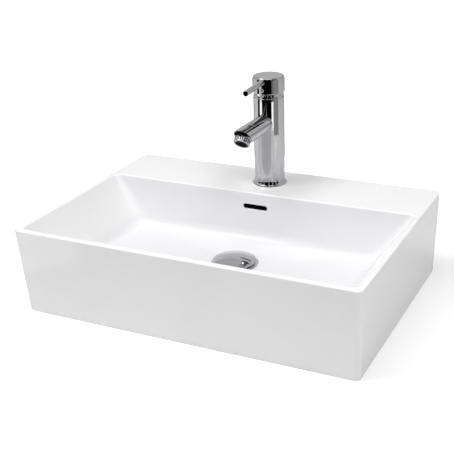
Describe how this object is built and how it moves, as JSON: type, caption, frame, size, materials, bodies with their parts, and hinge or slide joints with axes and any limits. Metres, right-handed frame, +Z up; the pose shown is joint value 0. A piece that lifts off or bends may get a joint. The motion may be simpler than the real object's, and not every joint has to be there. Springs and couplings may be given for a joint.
{
  "type": "washbasin",
  "caption": "Rectangular ceramic washbasin with a tap ledge, a single lever mixer tap and a push to open waste.",
  "frame": {"origin": "on the plane of the basin's foot, under the centre of the basin's outline", "axes": "+Z up, +Y towards the wall, -Y towards the user, X along the width, symmetric about X = 0"},
  "size_m": [0.51, 0.365, 0.2965],
  "materials": {
    "glaze": "white gloss glaze",
    "chrome": "polished chrome plate",
    "brass": "turned brass, unplated",
    "steel": "zinc plated steel",
    "stainless": "drawn stainless wire and mesh",
    "rubber_black": "black nitrile rubber",
    "rubber_grey": "grey rubber",
    "seal_red": "red silicone rubber",
    "poly_white": "white polyethylene",
    "acetal": "ivory acetal",
    "acetal_tan": "tan acetal",
    "acetal_grey": "grey acetal",
    "alumina": "lapped alumina",
    "indicator": "dark glossy plug"
  },
  "bodies": {
    "basin_assembly": {"basin": "glaze", "waste_body": "chrome", "waste_upper_seal": "rubber_grey", "waste_lower_seal": "rubber_black", "waste_slip_washer": "poly_white", "waste_back_nut": "brass", "waste_latch_spring": "stainless", "waste_latch_housing": "acetal_grey", "tap_body": "chrome", "tap_base_seal": "rubber_grey", "tap_trim_ring": "chrome", "tap_retaining_nut": "brass", "aerator_collar": "chrome", "aerator_insert": "acetal_grey", "aerator_screen": "stainless", "aerator_washer": "rubber_black", "cartridge_housing": "acetal", "cartridge_base": "acetal", "cartridge_seals": "seal_red", "cartridge_fixed_disc": "alumina", "fixing_stud": "steel", "fixing_rubber_washer": "rubber_black", "fixing_steel_washer": "steel", "fixing_nut": "brass"},
    "waste_plug": {"waste_cap": "chrome", "waste_cap_seal": "rubber_black", "waste_plunger": "acetal", "waste_latch_cam": "acetal_tan"},
    "cartridge_turn": {"cartridge_carrier": "acetal_tan", "cartridge_pivot_pin": "steel"},
    "valve_disc": {"cartridge_moving_disc": "alumina", "cartridge_slider": "acetal_tan"},
    "handle": {"cartridge_stem": "brass", "handle_cap": "chrome", "handle_lever": "chrome", "handle_grub_screw": "steel", "handle_indicator": "indicator"}
  },
  "joints": [
    {"name": "handle_swivel", "type": "hinge", "parent": "basin_assembly", "child": "cartridge_turn", "pos_m": [0, 0.13, 0.26062], "axis": [0, 0, 1], "range_deg": [-50, 50]},
    {"name": "handle_lift", "type": "hinge", "parent": "cartridge_turn", "child": "handle", "pos_m": [0, 0.13, 0.26062], "axis": [-1, 0, 0], "range_deg": [0, 25]},
    {"name": "disc_slide", "type": "slide", "parent": "cartridge_turn", "child": "valve_disc", "axis": [0, -1, 0], "range_m": [0, 0.0039]},
    {"name": "waste_push", "type": "slide", "parent": "basin_assembly", "child": "waste_plug", "axis": [0, 0, 1], "range_m": [0, 0.009], "deforming": ["waste_latch_spring"]}
  ],
  "couplings": [
    {"joint": "disc_slide", "follows": "handle_lift", "m_per_rad": 0.008717}
  ]
}
